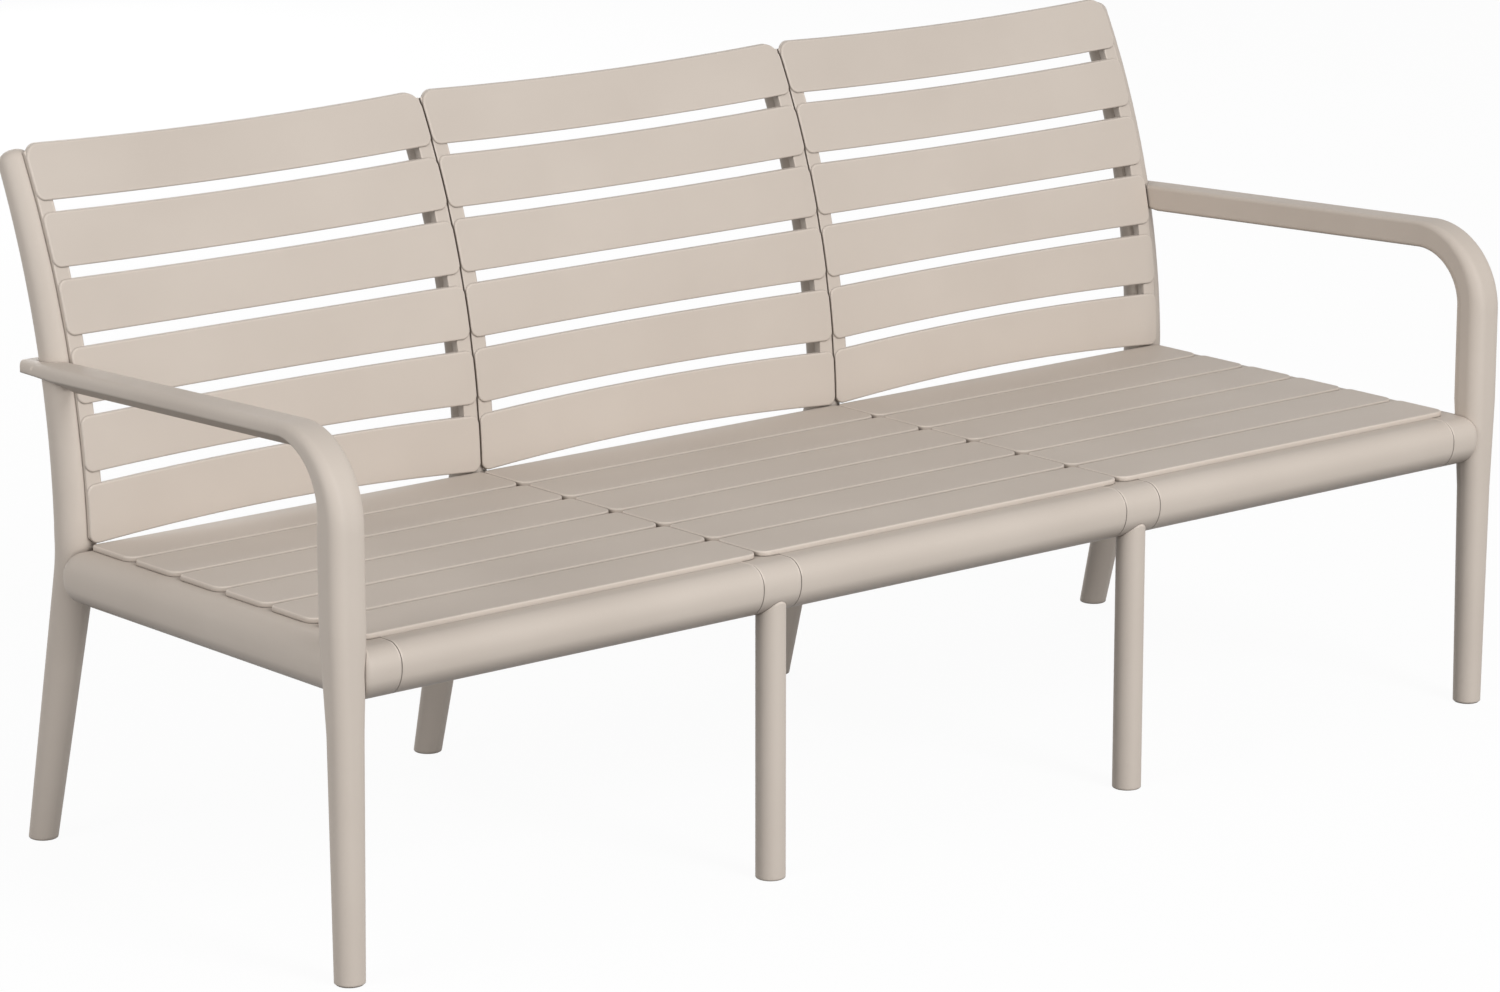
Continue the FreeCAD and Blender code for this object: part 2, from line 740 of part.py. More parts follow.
def section_wire(at, along, width, inner, outer, rise, roundings):
    """Four-sided section square to the path, its corners rounded one by one from the inner top one."""
    sideways = Vector(1, 0, 0)
    outward = Vector(0, -along.z, along.y)
    corners = [(-width / 2, rise), (width / 2, rise), (width / 2, rise - outer), (-width / 2, rise - inner)]
    points = [at + sideways * across + outward * out for across, out in corners]
    arcs = []
    for index, (point, rounding) in enumerate(zip(points, roundings)):
        before = (points[index - 1] - point).normalize()
        after = (points[(index + 1) % 4] - point).normalize()
        half = before.getAngle(after) / 2
        back = rounding / math.tan(half)
        inside = (before + after).normalize()
        nearest = point + inside * (rounding / math.sin(half) - rounding)
        arcs.append((point + before * back, nearest, point + after * back))
    edges = []
    for index, arc in enumerate(arcs):
        edges.append(Part.Arc(*arc).toShape())
        edges.append(Part.makeLine(arc[2], arcs[(index + 1) % 4][0]))
    return Part.Wire(edges)


def leg_sections(grow, top):
    """Sections of the front leg from the foot up to the start of the bend."""
    up = Vector(0, 0, 1)
    foot = size("foot_diameter") + 2 * grow
    sole = foot - 2 * size("foot_edge_round")
    flat = size("foot_flat")
    width = size("leg_width") + 2 * grow
    depth = size("leg_depth") + 2 * grow
    knee = size("leg_knee")
    knee_width = size("knee_width") + 2 * grow
    knee_depth = size("knee_depth") + 2 * grow
    corner = size("leg_corner")
    back = size("leg_back")
    rows = [
        (0, sole, sole, 0, (sole - flat) / 2),
        (size("foot_edge_round"), foot, foot, 0, (foot - flat) / 2),
        (knee, knee_width, knee_depth, 0, size("knee_corner")),
        ((knee + top) / 2, width, depth, back, corner),
        (top, width, depth, back, corner),
    ]
    return [section_wire(Vector(0, 0, level), up, across, deep, deep, deep / 2 - behind, [rounding] * 4)
            for level, across, deep, behind, rounding in rows]


def tip_outline(tip, half, ahead):
    """Room for an arm whose tip has rounded corners in plan."""
    rounding = size("arm_tip_round")
    slack = rounding - rounding * math.sqrt(0.5)
    side = tip.y - rounding
    points = [Vector(-half, ahead, 0), Vector(-half, side, 0), Vector(rounding - half, tip.y, 0),
              Vector(half - rounding, tip.y, 0), Vector(half, side, 0), Vector(half, ahead, 0)]
    outline = [
        Part.makeLine(points[0], points[1]),
        Part.Arc(points[1], Vector(slack - half, tip.y - slack, 0), points[2]).toShape(),
        Part.makeLine(points[2], points[3]),
        Part.Arc(points[3], Vector(half - slack, tip.y - slack, 0), points[4]).toShape(),
        Part.makeLine(points[4], points[5]),
        Part.makeLine(points[5], points[0]),
    ]
    return Part.Face(Part.Wire(outline)).extrude(Vector(0, 0, 2 * tip.z))


def arm_shape(grow):
    """Front leg, bend and arm as one moulding in its own upright plane."""
    slope = math.radians(size("arm_slope_angle"))
    bend = size("arm_bend")
    turn = math.pi / 2 + slope
    start = size("arm_height") - size("arm_inner") / 2 - bend

    def on_bend(angle):
        return Vector(0, bend - bend * math.cos(angle), start + bend * math.sin(angle))

    along = Vector(0, math.cos(slope), -math.sin(slope))
    shoulder = on_bend(turn)
    tip = shoulder + along * ((ARM_TIP - shoulder.y) / math.cos(slope))
    tail = tip - along * size("arm_tail")
    more = 2 * grow
    width = size("arm_width") + more
    inner = size("arm_inner") + more
    outer = size("arm_outer") + more
    tip_width = size("arm_tip_width") + more
    tip_inner = size("arm_tip_inner") + more
    tip_outer = size("arm_tip_outer") + more
    corner = size("arm_corner")
    corners = [corner, size("arm_crown"), corner, corner]
    levels = leg_sections(grow, start)
    finish = section_wire(shoulder, along, width, inner, outer, inner / 2, corners)
    rear = section_wire(tail, along, width, inner, outer, inner / 2, corners)
    end = section_wire(tip, along, tip_width, tip_inner, tip_outer, inner / 2, corners)
    leg = Part.makeLoft(levels, True, True)
    curve = Part.Wire(Part.Arc(on_bend(0), on_bend(turn / 2), shoulder).toShape())
    elbow = curve.makePipeShell([levels[-1], finish], True, False)
    beam = Part.makeLoft([finish, rear, end], True, True)
    beam = beam.common(tip_outline(tip, width / 2, shoulder.y - inner))
    return leg.fuse([elbow, beam]).removeSplitter()


# Middle front legs

def middle_leg():
    """Round leg standing upright at the origin, before it is scribed to the roll."""
    body = new_body("middle_leg_blank")
    radius = cell("middle_leg_diameter") / 2
    edge = cell("foot_edge_round")
    top = cell("seat_height") - cell("roll_bottom") + cell("roll_bottom_round")
    section = sketch_on(body, "middle_leg_section", "XZ_Plane")
    nothing = length(0)
    draw_loop(section, [
        (nothing, nothing), (radius - edge, nothing, radius - edge, edge), (radius, edge),
        (radius, top), (nothing, top),
    ])
    turn = body.newObject("PartDesign::Revolution", "middle_leg_turn")
    turn.Profile = section
    turn.ReferenceAxis = (section, ["V_Axis"])
    turn.Angle = 360
    doc.recompute()
    return body


def roll_space(across, half, grow):
    """Room taken by the outside of the roll, as a solid, in the sofa's frame."""
    front = -size("roll_front") - grow
    bottom = -size("roll_bottom") - grow
    upper = size("roll_top_round") + grow
    lower = size("roll_bottom_round") + grow
    top = -RAIL_TOP.value + grow
    back = size("roll_back") + size("middle_leg_diameter")
    turn = math.sqrt(0.5)
    outline = [
        Part.makeLine(Vector(0, back, top), Vector(0, front + upper, top)),
        Part.Arc(Vector(0, front + upper, top),
                 Vector(0, front + upper - upper * turn, top - upper + upper * turn),
                 Vector(0, front, top - upper)).toShape(),
        Part.makeLine(Vector(0, front, top - upper), Vector(0, front, bottom + lower)),
        Part.Arc(Vector(0, front, bottom + lower),
                 Vector(0, front + lower - lower * turn, bottom + lower - lower * turn),
                 Vector(0, front + lower, bottom)).toShape(),
        Part.makeLine(Vector(0, front + lower, bottom), Vector(0, back, bottom)),
        Part.makeLine(Vector(0, back, bottom), Vector(0, back, top)),
    ]
    solid = Part.Face(Part.Wire(outline)).extrude(Vector(2 * half, 0, 0))
    solid.Placement = Placement(seat_point(across - half, 0, 0), Rotation(Vector(1, 0, 0), -SEAT_TILT))
    return solid


# Fasteners and the room they need

FIT = size("fit_gap")
HEAD = size("head_height")
# Shares of a head's diameter at its crown and of its height at its rim
HEAD_CROWN = 0.6
HEAD_RIM = 0.6


def fastener(head, shank, reach):
    """Low round head below zero, shank of one reach above it."""
    crown = HEAD_CROWN * head / 2
    rim = -HEAD_RIM * HEAD
    return turned([(-HEAD, crown), (rim, head / 2), (0, head / 2), (0, shank / 2), (reach, shank / 2)])


def fastener_room(head, shank, reach, sink):
    """Hole for a fastener with clearance, its head sunk by a given depth."""
    hole = shank / 2 + FIT
    if sink == 0:
        return turned([(-FIT, hole), (reach + FIT, hole)])
    return turned([(-sink, head / 2 + FIT), (0, head / 2 + FIT), (0, hole), (reach + FIT, hole)])


def seat_screw_seats():
    """Start and direction of each screw from an outer rib into the rail beside it."""
    seats = []
    inner = ROLL_END.value - size("rib_wall")
    inset = size("seat_screw_inset")
    level = -(size("seat_plate") + size("rib_depth") / 2)
    for panel in (-1, 0, 1):
        for side in (-1, 1):
            for depth in (inset, size("seat_depth") - inset):
                across = panel * size("panel_pitch") + side * inner
                start = seat_point(across, depth, level)
                seats.append((start, Vector(side, 0, 0)))
    return seats


def back_screw_leans():
    """Lean of the back at the screws, behind the middles of the end slats and of a slat between."""
    count = int(size("back_slats"))
    start = math.asin(size("back_start") / size("back_radius"))
    leans = []
    for index in (0, count // 2, count - 1):
        low, high = slat_arc(index)
        leans.append(start + (low.value + high.value) / 2 / size("back_radius"))
    return leans


def back_screw_seats(post, offsets):
    """Start and direction of each screw from a post forward into the stiles."""
    seats = []
    for lean in back_screw_leans():
        for offset in offsets:
            start = back_point(lean, SCREW_DEPTH) + Vector(post + offset, 0, 0)
            seats.append((start, Vector(0, -math.cos(lean), math.sin(lean))))
    return seats


def back_cap_seats(post, offsets, top, hip_radius):
    """Place and direction of the cap that closes each of a post's screw holes."""
    seats = []
    low = post_lean(HIP, hip_radius)
    high = post_lean(top, POST_RADIUS)
    for lean in back_screw_leans():
        radius = hip_radius + (POST_RADIUS - hip_radius) * (lean - low) / (high - low)
        rear = POST_FRONT + radius + math.sqrt(radius ** 2 - STILE_MIDDLE ** 2)
        for offset in offsets:
            start = back_point(lean, rear - size("cap_recess")) + Vector(post + offset, 0, 0)
            seats.append((start, Vector(0, -math.cos(lean), math.sin(lean))))
    return seats


def arm_screw_seat():
    """Screw from the inner side of the right post out into the arm's tongue."""
    radius = (POST_RADIUS + HIP_RADIUS) / 2
    depth = post_point(size("arm_height"), radius).y
    fall = math.tan(math.radians(size("arm_slope_angle"))) * (depth - size("arm_bend"))
    height = size("arm_height") - fall - size("arm_outer") / 2
    start = Vector(POST_X - POST_RADIUS / 2, post_point(height, radius).y, height)
    return start, Vector(1, 0, 0)


def rear_bolt_seat(across, level):
    """Bolt from a rail's solid rear end back into the post."""
    start = seat_point(across, rail_rear().value - size("block_length") - FIT, level)
    return start, Vector(0, 1, 0)


def front_bolt_seat():
    """Bolt from the right side rail's solid front end into the leg."""
    across = (LEG_X + STUB_END.value) / 2
    start = seat_point(across, size("block_length") - size("seat_front") + FIT, -size("roll_bottom") / 2)
    return start, Vector(0, -1, 0)


def leg_bolt_seat(across):
    """Bolt from behind the coupling forward through the leg's tenon."""
    start = seat_point(across, size("roll_back") + FIT, size("tenon_length") / 2 - size("roll_bottom"))
    return start, Vector(0, -1, 0)


def both_sides(seats):
    """Seats of the right half together with their mirror images."""
    twins = []
    for start, direction in seats:
        twins.append((start, direction))
        twins.append((Vector(-start.x, start.y, start.z), Vector(-direction.x, direction.y, direction.z)))
    return twins


def fill(shape, seats):
    """Copies of one solid at every seat."""
    return [aimed(shape, start, direction) for start, direction in seats]


def family(label, shapes):
    """Identical small pieces that share one node."""
    return put(label, Part.makeCompound(shapes))


# Reach of each fastener from under its head
SCREW = (size("screw_head"), size("screw_shank"))
BOLT = (size("bolt_head"), size("bolt_shank"))
SEAT_REACH = size("rib_wall") + size("seam_gap") + size("rail_wall") + HEAD
SCREW_DEPTH = POST_FRONT + POST_RADIUS + HEAD
BACK_REACH = SCREW_DEPTH - size("stile_recess") - HEAD / 2
ARM_REACH = POST_RADIUS / 2 + HIP_RADIUS + size("anchor_depth")
REAR_REACH = size("block_length") + size("rail_short") - HIP_RADIUS + size("anchor_depth")
FRONT_REACH = size("block_length") - size("leg_depth") / 2 + size("anchor_depth")
LEG_REACH = size("roll_back") + size("seat_front") + size("anchor_depth") / 2
SINK = size("hip_diameter")
STILE_MIDDLE = (size("panel_gap") + size("stile_width")) / 2
END_OFFSETS = (-STILE_MIDDLE,)
MIDDLE_OFFSETS = (-STILE_MIDDLE, STILE_MIDDLE)
SIDE_BOLT_LEVEL = -size("roll_bottom") / 2
MIDDLE_BOLT_LEVEL = -size("middle_rail_depth") / 2


def glide():
    """Round push-in glide, flush with the end of a leg."""
    stem = size("glide_stem") / 2
    rim = size("glide_diameter") / 2
    thick = size("glide_thickness")
    return turned([(0, rim), (thick, rim), (thick, stem), (thick + size("glide_stem_length"), stem)])


def glide_room():
    """Socket of a glide with clearance."""
    stem = size("glide_stem") / 2 + FIT
    rim = size("glide_diameter") / 2 + FIT
    thick = size("glide_thickness") + FIT
    top = thick + size("glide_stem_length") + FIT
    return turned([(-thick, rim), (thick, rim), (thick, stem), (top, stem)])


def moved(shape, across, depth):
    """A copy of an upright shape at a place on the floor."""
    copy = shape.copy()
    copy.Placement = Placement(Vector(across, depth, 0), Rotation())
    return copy


# The pieces

def make_posts(nodes):
    """End and middle posts, bored for their fasteners."""
    for label, across, post, offsets, level in (
            ("right_back_post", POST_X, END_POST, END_OFFSETS, SIDE_BOLT_LEVEL),
            ("right_middle_post", JOINT, MIDDLE_POST, MIDDLE_OFFSETS, MIDDLE_BOLT_LEVEL)):
        rooms = fill(fastener_room(*SCREW, BACK_REACH, SINK), back_screw_seats(across, offsets))
        rooms += fill(fastener_room(*BOLT, REAR_REACH, 0), [rear_bolt_seat(across, level)])
        rooms.append(moved(glide_room(), across, REAR_FOOT))
        if across == POST_X:
            rooms += fill(fastener_room(*SCREW, ARM_REACH, SINK), [arm_screw_seat()])
        blank = post_shape(0, *post)
        blank.translate(Vector(across, 0, 0))
        nodes.append(cut(label, put(label + "_blank", blank), rooms))


def post_room(across, post):
    """Space round a post at its seat clearance."""
    room = post_shape(FIT, *post)
    room.translate(Vector(across, 0, 0))
    return room


def arm_placed(grow):
    """Right arm and front leg in the upright frame of the front feet."""
    shape = arm_shape(grow)
    shape.Placement = Placement(Vector(LEG_X, 0, 0), Rotation(Vector(0, 0, 1), size("arm_toe_angle")))
    return shape


def make_arm(nodes):
    """Right arm with its front leg, notched round the post."""
    rooms = [post_room(POST_X, END_POST), moved(glide_room(), LEG_X, 0)]
    rooms += fill(fastener_room(*SCREW, ARM_REACH, 0), [arm_screw_seat()])
    rooms += fill(fastener_room(*BOLT, FRONT_REACH, 0), [front_bolt_seat()])
    nodes.append(cut("right_arm_front_leg", put("arm_blank", arm_placed(0)), rooms))


def make_rails(nodes, seat_holes):
    """Side rail scribed to leg and post, middle rail with the socket of its leg."""
    rooms = [arm_placed(FIT), post_room(POST_X, END_POST)] + seat_holes
    rooms += fill(fastener_room(*BOLT, REAR_REACH, 0), [rear_bolt_seat(POST_X, SIDE_BOLT_LEVEL)])
    rooms += fill(fastener_room(*BOLT, FRONT_REACH, 0), [front_bolt_seat()])
    nodes.append(cut("right_side_rail", side_rail(), rooms))
    rooms = [post_room(JOINT, MIDDLE_POST), tenon(FIT)] + seat_holes
    rooms += fill(fastener_room(*BOLT, REAR_REACH, 0), [rear_bolt_seat(JOINT, MIDDLE_BOLT_LEVEL)])
    rooms += fill(fastener_room(*BOLT, LEG_REACH, 0), [leg_bolt_seat(JOINT)])
    nodes.append(cut("right_middle_rail", middle_rail("middle_rail_blank", JOINT), rooms))


def tenon(grow):
    """Tenon on top of the right middle front leg."""
    low = size("seat_height") - size("roll_bottom") - size("roll_bottom_round") / 4
    high = size("seat_height") - size("roll_bottom") + size("tenon_length") + grow
    return Part.makeCylinder(size("tenon_diameter") / 2 + grow, high - low, Vector(JOINT, 0, low))


def make_middle_leg(nodes):
    """Right middle front leg scribed to the roll, with its tenon and bolt hole."""
    body = middle_leg()
    body.Placement = floor_place(JOINT)
    scribed = cut("middle_leg_scribed", body, [roll_space(JOINT, size("frame_half") * 2, FIT)])
    joined = doc.addObject("Part::Fuse", "middle_leg_tenoned")
    joined.Base = scribed
    joined.Tool = put("middle_leg_tenon", tenon(0))
    rooms = [moved(glide_room(), JOINT, 0)]
    rooms += fill(fastener_room(*BOLT, LEG_REACH, 0), [leg_bolt_seat(JOINT)])
    nodes.append(cut("right_middle_front_leg", joined, rooms))


def make_panels(nodes, seat_holes):
    """Seat and back panel of the middle place, and their twins on both sides."""
    back_holes = both_sides(back_screw_seats(JOINT, END_OFFSETS))
    back_rooms = fill(fastener_room(*SCREW, BACK_REACH, 0), back_holes)
    back_rooms += [post_room(JOINT, END_POST), post_room(-JOINT, END_POST)]
    seat = cut("center_seat_panel", seat_panel("seat_blank"), seat_holes)
    back = cut("center_back_panel", back_panel("back_blank"), back_rooms)
    for piece in (seat, back):
        nodes.append(piece)
        nodes.append(twin(piece.Label.replace("center_", "right_"), piece, cell("panel_pitch")))
        nodes.append(twin(piece.Label.replace("center_", "left_"), piece, -cell("panel_pitch")))


def twin(label, source, across):
    """The same piece at another place along the sofa."""
    item = doc.addObject("Part::Compound", label)
    item.Links = [source]
    item.setExpression("Placement.Base.x", across.text)
    return item


def make_fasteners(nodes):
    """Glides, screws, caps and bolts, each kind in one node."""
    feet = [(LEG_X, 0), (JOINT, 0), (POST_X, REAR_FOOT), (JOINT, REAR_FOOT)]
    glides = [moved(glide(), side * across, depth) for across, depth in feet for side in (-1, 1)]
    nodes.append(family("foot_glides", glides))
    nodes.append(family("seat_screws", fill(fastener(*SCREW, SEAT_REACH), seat_screw_seats())))
    seats = both_sides(back_screw_seats(POST_X, END_OFFSETS) + back_screw_seats(JOINT, MIDDLE_OFFSETS))
    nodes.append(family("back_screws", fill(fastener(*SCREW, BACK_REACH), seats)))
    radius = size("screw_head") / 2
    plug = turned([(0, radius), (size("cap_thickness"), radius)])
    caps = back_cap_seats(POST_X, END_OFFSETS, *END_POST)
    caps += back_cap_seats(JOINT, MIDDLE_OFFSETS, *MIDDLE_POST)
    nodes.append(family("back_screw_caps", fill(plug, both_sides(caps))))
    nodes.append(family("arm_screws", fill(fastener(*SCREW, ARM_REACH), both_sides([arm_screw_seat()]))))
    rear = [rear_bolt_seat(POST_X, SIDE_BOLT_LEVEL), rear_bolt_seat(JOINT, MIDDLE_BOLT_LEVEL)]
    bolts = fill(fastener(*BOLT, REAR_REACH), both_sides(rear))
    bolts += fill(fastener(*BOLT, FRONT_REACH), both_sides([front_bolt_seat()]))
    nodes.append(family("rail_bolts", bolts))
    nodes.append(family("leg_bolts", fill(fastener(*BOLT, LEG_REACH), both_sides([leg_bolt_seat(JOINT)]))))


def build():
    """Every piece of the sofa: right ones, their mirror images, panels and fasteners."""
    nodes = []
    seat_holes = fill(fastener_room(*SCREW, SEAT_REACH, 0), seat_screw_seats())
    make_posts(nodes)
    make_arm(nodes)
    make_rails(nodes, seat_holes)
    make_middle_leg(nodes)
    doc.recompute()
    for piece in list(nodes):
        nodes.append(mirror(piece.Label.replace("right_", "left_"), piece))
    make_panels(nodes, seat_holes)
    make_fasteners(nodes)
    doc.recompute()
    return nodes


def export(nodes):
    """Check every object, then write one file for each piece."""
    for item in doc.Objects:
        if "Invalid" in item.State or "Error" in item.State:
            raise RuntimeError("not computed: " + item.Label)
    os.makedirs("parts", exist_ok=True)
    for piece in nodes:
        if piece.Shape.isNull() or not piece.Shape.isValid():
            raise RuntimeError("bad shape: " + piece.Label)
        piece.Shape.exportStep("parts/%s.step" % piece.Label)


export(build())
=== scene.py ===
import json
import math

import bpy
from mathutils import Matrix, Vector


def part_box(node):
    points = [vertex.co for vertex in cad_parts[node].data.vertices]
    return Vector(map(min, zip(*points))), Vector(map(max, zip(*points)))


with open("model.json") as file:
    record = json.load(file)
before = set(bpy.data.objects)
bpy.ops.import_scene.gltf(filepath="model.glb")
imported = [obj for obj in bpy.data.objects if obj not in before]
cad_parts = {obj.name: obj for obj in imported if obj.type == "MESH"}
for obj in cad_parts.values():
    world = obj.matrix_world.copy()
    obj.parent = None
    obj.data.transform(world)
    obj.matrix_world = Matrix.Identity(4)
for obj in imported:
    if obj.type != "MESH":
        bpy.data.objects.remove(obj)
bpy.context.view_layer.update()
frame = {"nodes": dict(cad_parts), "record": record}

nodes = frame["nodes"]

# Camera, measured from the middle of the line of the front feet on the floor, in metres
PHOTO_WIDTH = 1500
FOCAL_PIXELS = 5685
SENSOR_WIDTH = 36
CAMERA_LEFT = 4.2506
CAMERA_AHEAD = 4.7770
CAMERA_HEIGHT = 1.9947
CAMERA_YAW = math.radians(39.524)
CAMERA_PITCH = math.radians(13.966)

# Studio: soft lamps ahead, to the left and behind, in an even pale surround, in metres and watts
LAMPS = {
    "key": {"place": (0.4, -6.2, 4.8), "size": 2.4, "power": 248},
    "wash": {"place": (0.3, -7.5, 0.75), "size": 1.4, "power": 164},
    "rear": {"place": (1.5, 5.6, 1.7), "size": 2.6, "power": 84},
    "fill": {"place": (-6.5, -0.6, 2.9), "size": 3.4, "power": 152},
}
LAMP_AIM = Vector((0.0, 0.0, 0.45))
SURROUND_STRENGTH = 0.34
FLOOR_SIZE = 40
WHITE = (1, 1, 1, 1)
# Tone of the floor for the light that it throws back on the sofa
FLOOR_BOUNCE = (0.33, 0.33, 0.33, 1)
# Shares of plain white that the camera sees: the rest of the floor takes the shadow
FLOOR_WHITE = 0.95
SURROUND_WHITE = 1

# Colours as linear values
RESIN_LIGHT = (0.585, 0.517, 0.455, 1)
RESIN_DARK = (0.552, 0.485, 0.425, 1)
# Painted highlight: a pale tone laid on upper edges where the light catches them
RESIN_PAINTED_HIGHLIGHT = (0.85, 0.752, 0.665, 1)
# Painted shade: a dark tone laid on undersides and in crevices where shade falls
RESIN_PAINTED_SHADE = (0.21, 0.175, 0.15, 1)
STEEL_LIGHT = (0.62, 0.62, 0.61, 1)
STEEL_DARK = (0.44, 0.44, 0.43, 1)
GLIDE_LIGHT = (0.17, 0.15, 0.13, 1)
GLIDE_DARK = (0.12, 0.105, 0.092, 1)

# Patterns: features in a metre, finer steps, and how they are squeezed along the axes
CLOUDS = {"scale": 5, "detail": 3}
GRAIN = {"scale": 1400, "detail": 2}
STREAKS = {"scale": 900, "detail": 2, "squeeze": (1, 1, 8)}
SCUFFS = {"scale": 260, "detail": 4}
# Values that most of a pattern lies between
PATTERN_SPAN = (0.3, 0.7)

# Shine: roughness at both ends of a pattern, and the strength of the resin's reflections
RESIN_ROUGHNESS = (0.5, 0.6)
STEEL_ROUGHNESS = (0.25, 0.4)
GLIDE_ROUGHNESS = (0.5, 0.75)
RESIN_SPECULAR = 0.3

# Relief of the patterns, depths in metres
GRAIN_RELIEF = {"depth": 0.00012, "strength": 0.35}
SCUFF_RELIEF = {"depth": 0.0002, "strength": 0.3}

# Painted light on the resin: shares of the painted highlight and the painted shade tone, and lengths in
# metres
# Share of the painted highlight on upper edges
PAINTED_HIGHLIGHT_SHARE = 1.0
# Share of the painted shade on undersides and in crevices
PAINTED_SHADE_SHARE = 0.7
EDGE_RADIUS = 0.003
CREVICE_REACH = 0.008
BEVEL_SAMPLES = 4
OPENNESS_SAMPLES = 4

# Where the painted highlight and shade begin and end: by openness at edges and crevices, and by how far
# a surface looks up
EDGE_SPAN = (0.55, 0.95)
CREVICE_SPAN = (0.2, 0.7)
UPPER_SPAN = (0.1, 0.5)
LOWER_SPAN = (-0.8, -0.3)

# Sockets of the colour mix node, whose names are not unique
MIX_SHARE = 0
MIX_FIRST = 6
MIX_SECOND = 7
MIX_RESULT = 2


# Camera

def feet_line():
    """Depth of the line through the front feet."""
    low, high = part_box("left_middle_front_leg")
    return (low[1] + high[1]) / 2


def add_camera():
    """The camera of the photograph, found by fitting the feet and the panel joints."""
    data = bpy.data.cameras.new("photo_camera")
    data.sensor_width = SENSOR_WIDTH
    data.lens = FOCAL_PIXELS / PHOTO_WIDTH * SENSOR_WIDTH
    camera = bpy.data.objects.new("photo_camera", data)
    camera.location = (-CAMERA_LEFT, feet_line() - CAMERA_AHEAD, CAMERA_HEIGHT)
    camera.rotation_euler = (math.pi / 2 - CAMERA_PITCH, 0, -CAMERA_YAW)
    bpy.context.collection.objects.link(camera)
    bpy.context.scene.camera = camera


# Nodes that materials, floor and surround share

def colour_mix(tree, share, second):
    """A node that mixes its first colour with a second tone by a share."""
    mix = tree.nodes.new("ShaderNodeMix")
    mix.data_type = "RGBA"
    mix.inputs[MIX_SECOND].default_value = second
    tree.links.new(share, mix.inputs[MIX_SHARE])
    return mix


def calculate(tree, operation, first, second):
    """Result of an operation on an output and a second output or plain number."""
    node = tree.nodes.new("ShaderNodeMath")
    node.operation = operation
    tree.links.new(first, node.inputs[0])
    if isinstance(second, bpy.types.NodeSocket):
        tree.links.new(second, node.inputs[1])
    else:
        node.inputs[1].default_value = second
    return node.outputs["Value"]


# Materials

class Graph:
    """Short calls to add and join the nodes of one material."""

    def __init__(self, name):
        self.material = bpy.data.materials.new(name)
        self.material.use_nodes = True
        self.tree = self.material.node_tree
        self.shader = self.tree.nodes["Principled BSDF"]
        self.place = self.tree.nodes.new("ShaderNodeTexCoord").outputs["Object"]

    def link(self, source, target):
        """Join an output to an input."""
        self.tree.links.new(source, target)

    def noise(self, scale, detail, squeeze=None):
        """Noise in metres, squeezed along the axes if asked."""
        texture = self.tree.nodes.new("ShaderNodeTexNoise")
        texture.inputs["Scale"].default_value = scale
        texture.inputs["Detail"].default_value = detail
        source = self.place
        if squeeze:
            mapping = self.tree.nodes.new("ShaderNodeMapping")
            mapping.inputs["Scale"].default_value = squeeze
            self.link(source, mapping.inputs["Vector"])
            source = mapping.outputs["Vector"]
        self.link(source, texture.inputs["Vector"])
        return texture.outputs["Fac"]

    def spread(self, factor, ends, span=PATTERN_SPAN):
        """Values of a span, spread from one end to the other."""
        ramp = self.tree.nodes.new("ShaderNodeMapRange")
        ramp.inputs["From Min"].default_value = span[0]
        ramp.inputs["From Max"].default_value = span[1]
        ramp.inputs["To Min"].default_value = ends[0]
        ramp.inputs["To Max"].default_value = ends[1]
        self.link(factor, ramp.inputs["Value"])
        return ramp.outputs["Result"]

    def colours(self, pattern, dark, light):
        """Colour between two tones by a pattern."""
        mix = colour_mix(self.tree, self.spread(pattern, (0, 1)), light)
        mix.inputs[MIX_FIRST].default_value = dark
        return mix.outputs[MIX_RESULT]

    def stain(self, colour, tone, share):
        """Colour drawn toward a second tone by a share."""
        mix = colour_mix(self.tree, share, tone)
        self.link(colour, mix.inputs[MIX_FIRST])
        return mix.outputs[MIX_RESULT]

    def soft_edges(self, radius):
        """Directions of the surface, turning over its edges as if they were rounder."""
        node = self.tree.nodes.new("ShaderNodeBevel")
        node.samples = BEVEL_SAMPLES
        node.inputs["Radius"].default_value = radius
        return node.outputs["Normal"]

    def upward(self, direction):
        """How far a direction looks up: 1 up, 0 level, -1 down."""
        node = self.tree.nodes.new("ShaderNodeSeparateXYZ")
        self.link(direction, node.inputs["Vector"])
        return node.outputs["Z"]

    def openness(self, reach, inside=False):
        """1 on open surfaces, less in joints, or from the inside less near outer edges."""
        node = self.tree.nodes.new("ShaderNodeAmbientOcclusion")
        node.samples = OPENNESS_SAMPLES
        node.inside = inside
        node.inputs["Distance"].default_value = reach
        return node.outputs["AO"]

    def bump(self, height, depth, strength, direction=None):
        """Relief from a height, on the surface or on its soft-edged direction."""
        node = self.tree.nodes.new("ShaderNodeBump")
        node.inputs["Distance"].default_value = depth
        node.inputs["Strength"].default_value = strength
        self.link(height, node.inputs["Height"])
        if direction:
            self.link(direction, node.inputs["Normal"])
        self.link(node.outputs["Normal"], self.shader.inputs["Normal"])

    def complete(self, colour, roughness):
        """Join colour and roughness to the shader and give the material."""
        self.link(colour, self.shader.inputs["Base Color"])
        self.link(roughness, self.shader.inputs["Roughness"])
        return self.material


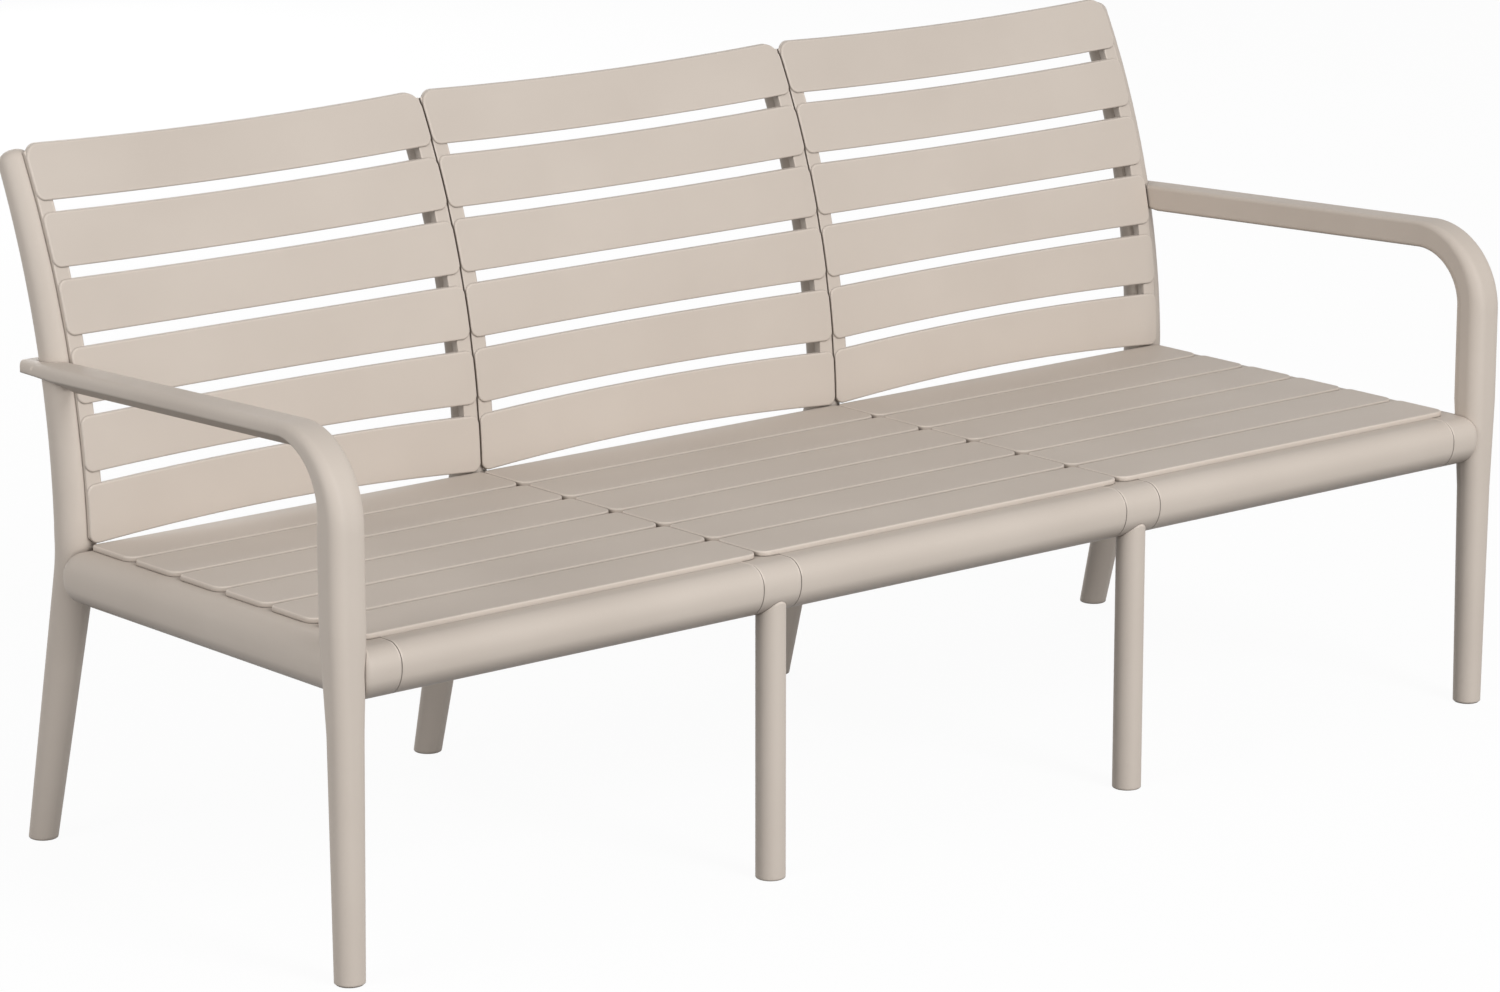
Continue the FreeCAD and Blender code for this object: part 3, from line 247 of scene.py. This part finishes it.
def paint_light_on_resin(graph, colour, direction):
    """Resin colour with a painted highlight on upper edges and painted shade on undersides and in
    joints.
    """
    upward = graph.upward(direction)
    # Painted highlight: upper edges made paler where the light catches them
    edge = graph.spread(graph.openness(EDGE_RADIUS, inside=True), (PAINTED_HIGHLIGHT_SHARE, 0), EDGE_SPAN)
    upper = graph.spread(upward, (0, 1), UPPER_SPAN)
    colour = graph.stain(colour, RESIN_PAINTED_HIGHLIGHT, calculate(graph.tree, "MULTIPLY", edge, upper))
    # Painted shade: surfaces that face down made darker
    lower = graph.spread(upward, (PAINTED_SHADE_SHARE, 0), LOWER_SPAN)
    colour = graph.stain(colour, RESIN_PAINTED_SHADE, lower)
    # Painted shade: joints and crevices made darker where shade falls
    crevice = graph.spread(graph.openness(CREVICE_REACH), (PAINTED_SHADE_SHARE, 0), CREVICE_SPAN)
    return graph.stain(colour, RESIN_PAINTED_SHADE, crevice)


def resin_material():
    """Satin moulded resin: cloudy tone, fine grain, a painted highlight on upper edges and painted
    shade below and in joints.
    """
    graph = Graph("moulded_resin")
    direction = graph.soft_edges(EDGE_RADIUS)
    clouds = graph.colours(graph.noise(**CLOUDS), RESIN_DARK, RESIN_LIGHT)
    # Painted highlight and painted shade laid over the cloudy tone
    colour = paint_light_on_resin(graph, clouds, direction)
    grain = graph.noise(**GRAIN)
    graph.bump(grain, **GRAIN_RELIEF, direction=direction)
    graph.shader.inputs["Specular IOR Level"].default_value = RESIN_SPECULAR
    return graph.complete(colour, graph.spread(grain, RESIN_ROUGHNESS))


def steel_material():
    """Brushed stainless fasteners."""
    graph = Graph("brushed_steel")
    streaks = graph.noise(**STREAKS)
    colour = graph.colours(streaks, STEEL_DARK, STEEL_LIGHT)
    graph.shader.inputs["Metallic"].default_value = 1
    return graph.complete(colour, graph.spread(streaks, STEEL_ROUGHNESS))


def glide_material():
    """Hard dark plastic with small scuffs."""
    graph = Graph("glide_plastic")
    scuffs = graph.noise(**SCUFFS)
    colour = graph.colours(scuffs, GLIDE_DARK, GLIDE_LIGHT)
    graph.bump(scuffs, **SCUFF_RELIEF)
    return graph.complete(colour, graph.spread(scuffs, GLIDE_ROUGHNESS))


def dress_nodes():
    """Give every CAD node the material of its slot."""
    looks = {"resin": resin_material(), "steel": steel_material(), "glide": glide_material()}
    for part in frame["record"]["subparts"]:
        mesh = nodes[part["node"]].data
        mesh.materials.clear()
        mesh.materials.append(looks[part["material_slot"]])


# Studio

def white_to_camera(tree, lit, glow, share):
    """A lit shader that a white glow replaces, by a share, where the camera or a reflection looks."""
    path = tree.nodes.new("ShaderNodeLightPath")
    seen = path.outputs["Is Camera Ray"]
    for ray in ("Is Glossy Ray", "Is Transmission Ray"):
        seen = calculate(tree, "MAXIMUM", seen, path.outputs[ray])
    white = tree.nodes.new(glow)
    white.inputs["Color"].default_value = WHITE
    mix = tree.nodes.new("ShaderNodeMixShader")
    tree.links.new(calculate(tree, "MULTIPLY", seen, share), mix.inputs["Fac"])
    tree.links.new(lit, mix.inputs[1])
    tree.links.new(white.outputs[0], mix.inputs[2])
    return mix.outputs["Shader"]


def floor_material():
    """White to the camera apart from the shadow, and a middle grey for the light thrown back."""
    material = bpy.data.materials.new("floor")
    material.use_nodes = True
    tree = material.node_tree
    tree.nodes.remove(tree.nodes["Principled BSDF"])
    path = tree.nodes.new("ShaderNodeLightPath")
    tone = colour_mix(tree, path.outputs["Is Camera Ray"], WHITE)
    tone.inputs[MIX_FIRST].default_value = FLOOR_BOUNCE
    lit = tree.nodes.new("ShaderNodeBsdfDiffuse")
    tree.links.new(tone.outputs[MIX_RESULT], lit.inputs["Color"])
    shown = white_to_camera(tree, lit.outputs["BSDF"], "ShaderNodeEmission", FLOOR_WHITE)
    tree.links.new(shown, tree.nodes["Material Output"].inputs["Surface"])
    return material


def add_floor():
    """A wide flat floor under the feet."""
    bpy.ops.mesh.primitive_plane_add(size=FLOOR_SIZE)
    floor = bpy.context.object
    floor.name = "floor"
    floor.data.materials.append(floor_material())


def add_world():
    """Even light from all round, white to the camera."""
    world = bpy.data.worlds.new("studio")
    bpy.context.scene.world = world
    world.use_nodes = True
    tree = world.node_tree
    ambient = tree.nodes["Background"]
    ambient.inputs["Color"].default_value = WHITE
    ambient.inputs["Strength"].default_value = SURROUND_STRENGTH
    shown = white_to_camera(tree, ambient.outputs["Background"], "ShaderNodeBackground", SURROUND_WHITE)
    tree.links.new(shown, tree.nodes["World Output"].inputs["Surface"])


def add_lamps():
    """Square lamps that face the middle of the sofa and are not seen themselves."""
    for name, lamp in LAMPS.items():
        data = bpy.data.lights.new(name, "AREA")
        data.shape = "SQUARE"
        data.size = lamp["size"]
        data.energy = lamp["power"]
        shape = bpy.data.objects.new(name, data)
        shape.location = lamp["place"]
        shape.visible_camera = False
        shape.rotation_euler = (LAMP_AIM - shape.location).to_track_quat("-Z", "Y").to_euler()
        bpy.context.collection.objects.link(shape)


dress_nodes()
add_camera()
add_floor()
add_world()
add_lamps()
bpy.context.scene.view_settings.view_transform = "Standard"
